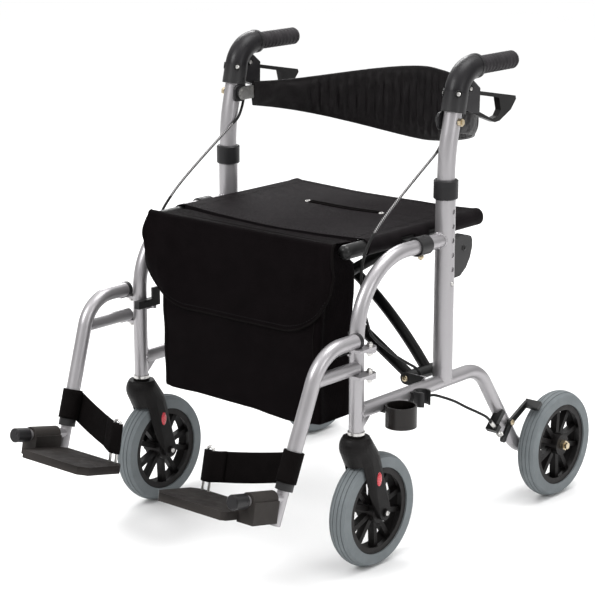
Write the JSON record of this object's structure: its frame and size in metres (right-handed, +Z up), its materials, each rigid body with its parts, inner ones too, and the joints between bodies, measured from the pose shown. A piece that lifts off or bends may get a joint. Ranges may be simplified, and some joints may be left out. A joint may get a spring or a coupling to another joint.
{
  "type": "rollator transport chair",
  "caption": "Folding rollator that doubles as a transport chair, with sling seat, curved backrest, front bag, swing-away footrests, casters and braked rear wheels.",
  "frame": {"origin": "on the floor under the middle of the whole chair", "axes": "+Z up, -Y forwards towards the footrests, +X towards the passenger's left"},
  "size_m": [0.6446, 0.955, 0.8506],
  "materials": {
    "frame_paint": "satin silver paint",
    "black_plastic": "satin moulded",
    "grip_rubber": "matt, ribbed",
    "steel": "plated",
    "cable_sleeve": "satin",
    "black_steel": "satin black paint",
    "wheel_plastic": "fine grain",
    "tyre_grey": "matt",
    "plate_plastic": "grained",
    "webbing": "woven webbing",
    "seat_cloth": "coated woven nylon",
    "bag_nylon": "woven nylon",
    "quilted_cloth": "quilted"
  },
  "bodies": {
    "left_frame": {"left_front_tube": "frame_paint", "left_lower_rail": "frame_paint", "left_upright": "frame_paint", "left_collar": "black_plastic", "left_upright_block": "black_plastic", "left_seat_saddle": "black_plastic", "left_brake_cable": "cable_sleeve", "left_brake_bracket": "black_steel", "left_rear_axle": "steel", "cane_cup": "black_plastic", "cane_clip": "black_plastic"},
    "cross_arm_a": {"cross_arm_a": "black_steel"},
    "cross_arm_b": {"cross_arm_b": "black_steel"},
    "right_frame": {"right_front_tube": "frame_paint", "right_lower_rail": "frame_paint", "right_upright": "frame_paint", "right_collar": "black_plastic", "right_upright_block": "black_plastic", "right_seat_saddle": "black_plastic", "right_brake_cable": "cable_sleeve", "right_brake_bracket": "black_steel", "right_rear_axle": "steel"},
    "seat": {"seat": "seat_cloth", "bag": "bag_nylon"},
    "bag_flap": {"bag_flap": "bag_nylon"},
    "left_handle": {"left_handle_tube": "frame_paint", "left_elbow": "black_plastic", "left_grip": "grip_rubber"},
    "left_snap_button": {"left_snap_button": "steel"},
    "left_brake_lever": {"left_brake_lever": "black_plastic"},
    "left_back_bar": {"left_back_bar": "black_steel", "backrest_pad": "quilted_cloth"},
    "left_brake_arm": {"left_brake_arm": "black_steel"},
    "left_rear_wheel": {"left_rear_rim": "wheel_plastic", "left_rear_tyre": "tyre_grey"},
    "left_caster": {"left_caster_fork": "wheel_plastic"},
    "left_front_wheel": {"left_front_rim": "wheel_plastic", "left_front_tyre": "tyre_grey"},
    "left_hanger": {"left_hanger": "frame_paint"},
    "left_extension": {"left_extension": "frame_paint", "left_heel_strap": "webbing"},
    "left_footplate": {"left_footplate": "plate_plastic"},
    "left_latch": {"left_latch": "black_plastic"},
    "right_handle": {"right_handle_tube": "frame_paint", "right_elbow": "black_plastic", "right_grip": "grip_rubber"},
    "right_snap_button": {"right_snap_button": "steel"},
    "right_brake_lever": {"right_brake_lever": "black_plastic"},
    "right_back_bar": {"right_back_bar": "black_steel"},
    "right_brake_arm": {"right_brake_arm": "black_steel"},
    "right_rear_wheel": {"right_rear_rim": "wheel_plastic", "right_rear_tyre": "tyre_grey"},
    "right_caster": {"right_caster_fork": "wheel_plastic"},
    "right_front_wheel": {"right_front_rim": "wheel_plastic", "right_front_tyre": "tyre_grey"},
    "right_hanger": {"right_hanger": "frame_paint"},
    "right_extension": {"right_extension": "frame_paint", "right_heel_strap": "webbing"},
    "right_footplate": {"right_footplate": "plate_plastic"},
    "right_latch": {"right_latch": "black_plastic"}
  },
  "joints": [
    {"name": "fold", "type": "hinge", "parent": "left_frame", "child": "cross_arm_a", "pos_m": [0.211, 0.062, 0.291], "axis": [0, 1, 0], "range_deg": [0, 38], "deforming": ["seat", "bag", "bag_flap", "backrest_pad", "left_heel_strap", "right_heel_strap"]},
    {"name": "brace_cross", "type": "hinge", "parent": "cross_arm_a", "child": "cross_arm_b", "pos_m": [0, 0.05, 0.419], "axis": [0, 1, 0], "range_deg": [-76.5, 0.5]},
    {"name": "right_fold", "type": "hinge", "parent": "cross_arm_b", "child": "right_frame", "pos_m": [-0.211, 0.086, 0.291], "axis": [0, 1, 0], "range_deg": [-0.5, 38.5]},
    {"name": "seat_lift", "type": "slide", "parent": "left_frame", "child": "seat", "axis": [0, 0, 1], "range_m": [-0.0005, 0.206]},
    {"name": "bag_flap_lift", "type": "hinge", "parent": "seat", "child": "bag_flap", "pos_m": [0, -0.1858, 0.565], "axis": [-1, 0, 0], "range_deg": [0, 120]},
    {"name": "left_handle_height", "type": "slide", "parent": "left_frame", "child": "left_handle", "axis": [0, 0, 1], "range_m": [0, 0.127], "deforming": ["left_brake_cable", "left_snap_button", "right_brake_cable", "right_snap_button"]},
    {"name": "left_snap_button_press", "type": "slide", "parent": "left_handle", "child": "left_snap_button", "axis": [-1, 0, 0], "range_m": [0, 0.0048], "stiffness_N_per_m": 900, "springref_m": -0.002},
    {"name": "left_brake_squeeze", "type": "hinge", "parent": "left_handle", "child": "left_brake_lever", "pos_m": [0.253, 0.1348, 0.79], "axis": [1, 0, 0], "range_deg": [0, 18], "stiffness_Nm_per_rad": 4, "springref_deg": -4.58},
    {"name": "left_back_bar_flip", "type": "hinge", "parent": "left_handle", "child": "left_back_bar", "pos_m": [0.22855, 0.08712, 0.741], "axis": [1, 0, 0], "range_deg": [-0.5, 92]},
    {"name": "left_brake_apply", "type": "hinge", "parent": "left_frame", "child": "left_brake_arm", "pos_m": [0.27, 0.26252, 0.164], "axis": [-1, 0, 0], "range_deg": [-0.05, 4.85]},
    {"name": "left_rear_wheel_roll", "type": "hinge", "parent": "left_frame", "child": "left_rear_wheel", "pos_m": [0.291, 0.377, 0.1], "axis": [1, 0, 0], "continuous": true},
    {"name": "left_caster_swivel", "type": "hinge", "parent": "left_frame", "child": "left_caster", "pos_m": [0.253, -0.165, 0.25], "axis": [0, 0, 1], "continuous": true},
    {"name": "left_front_wheel_roll", "type": "hinge", "parent": "left_caster", "child": "left_front_wheel", "pos_m": [0.253, -0.121, 0.1], "axis": [1, 0, 0], "continuous": true},
    {"name": "left_hanger_swing", "type": "hinge", "parent": "left_frame", "child": "left_hanger", "pos_m": [0.278, -0.162, 0.37], "axis": [0, 0, 1], "range_deg": [0, 90]},
    {"name": "left_leg_length", "type": "slide", "parent": "left_hanger", "child": "left_extension", "axis": [-0.0575, -0.3338, -0.9409], "range_m": [0, 0.06], "deforming": ["left_heel_strap"]},
    {"name": "left_footplate_flip", "type": "hinge", "parent": "left_extension", "child": "left_footplate", "pos_m": [0.25407, -0.35578, 0.18531], "axis": [0, 0.9781, -0.2079], "range_deg": [-0.5, 95.5], "deforming": ["left_heel_strap"]},
    {"name": "left_latch_release", "type": "hinge", "parent": "left_frame", "child": "left_latch", "pos_m": [0.2333, -0.151, 0.385], "axis": [0, 0, -1], "range_deg": [0, 20], "stiffness_Nm_per_rad": 0.4, "springref_deg": -5.73},
    {"name": "right_handle_height", "type": "slide", "parent": "right_frame", "child": "right_handle", "axis": [0, 0, 1], "range_m": [-0.0005, 0.1275], "deforming": ["right_brake_cable", "right_snap_button"]},
    {"name": "right_snap_button_press", "type": "slide", "parent": "right_handle", "child": "right_snap_button", "axis": [1, 0, 0], "range_m": [0, 0.0048], "stiffness_N_per_m": 900, "springref_m": -0.002},
    {"name": "right_brake_squeeze", "type": "hinge", "parent": "right_handle", "child": "right_brake_lever", "pos_m": [-0.253, 0.1348, 0.79], "axis": [1, 0, 0], "range_deg": [0, 18], "stiffness_Nm_per_rad": 4, "springref_deg": -4.58},
    {"name": "right_back_bar_flip", "type": "hinge", "parent": "right_handle", "child": "right_back_bar", "pos_m": [-0.22855, 0.08712, 0.741], "axis": [1, 0, 0], "range_deg": [-0.5, 92]},
    {"name": "right_brake_apply", "type": "hinge", "parent": "right_frame", "child": "right_brake_arm", "pos_m": [-0.27, 0.26252, 0.164], "axis": [-1, 0, 0], "range_deg": [-0.05, 4.85]},
    {"name": "right_rear_wheel_roll", "type": "hinge", "parent": "right_frame", "child": "right_rear_wheel", "pos_m": [-0.291, 0.377, 0.1], "axis": [1, 0, 0], "continuous": true},
    {"name": "right_caster_swivel", "type": "hinge", "parent": "right_frame", "child": "right_caster", "pos_m": [-0.253, -0.165, 0.25], "axis": [0, 0, 1], "continuous": true},
    {"name": "right_front_wheel_roll", "type": "hinge", "parent": "right_caster", "child": "right_front_wheel", "pos_m": [-0.253, -0.121, 0.1], "axis": [1, 0, 0], "continuous": true},
    {"name": "right_hanger_swing", "type": "hinge", "parent": "right_frame", "child": "right_hanger", "pos_m": [-0.278, -0.162, 0.37], "axis": [0, 0, -1], "range_deg": [0, 90]},
    {"name": "right_leg_length", "type": "slide", "parent": "right_hanger", "child": "right_extension", "axis": [0.0575, -0.3338, -0.9409], "range_m": [0, 0.06], "deforming": ["right_heel_strap"]},
    {"name": "right_footplate_flip", "type": "hinge", "parent": "right_extension", "child": "right_footplate", "pos_m": [-0.25407, -0.35578, 0.18531], "axis": [0, -0.9781, 0.2079], "range_deg": [-0.5, 95.5], "deforming": ["right_heel_strap"]},
    {"name": "right_latch_release", "type": "hinge", "parent": "right_frame", "child": "right_latch", "pos_m": [-0.2333, -0.151, 0.385], "axis": [0, 0, 1], "range_deg": [0, 20], "stiffness_Nm_per_rad": 0.4, "springref_deg": -5.73}
  ],
  "couplings": [
    {"joint": "brace_cross", "follows": "fold", "ratio": -2},
    {"joint": "right_fold", "follows": "fold", "ratio": 1},
    {"joint": "seat_lift", "follows": "fold", "m_per_rad": 0.30991},
    {"joint": "left_back_bar_flip", "follows": "fold", "ratio": 2.4},
    {"joint": "left_brake_apply", "follows": "left_brake_squeeze", "ratio": 0.26667},
    {"joint": "left_footplate_flip", "follows": "fold", "ratio": 2.5},
    {"joint": "right_back_bar_flip", "follows": "fold", "ratio": 2.4},
    {"joint": "right_brake_apply", "follows": "right_brake_squeeze", "ratio": 0.26667},
    {"joint": "right_footplate_flip", "follows": "fold", "ratio": 2.5},
    {"joint": "right_handle_height", "follows": "left_handle_height", "ratio": 1}
  ]
}
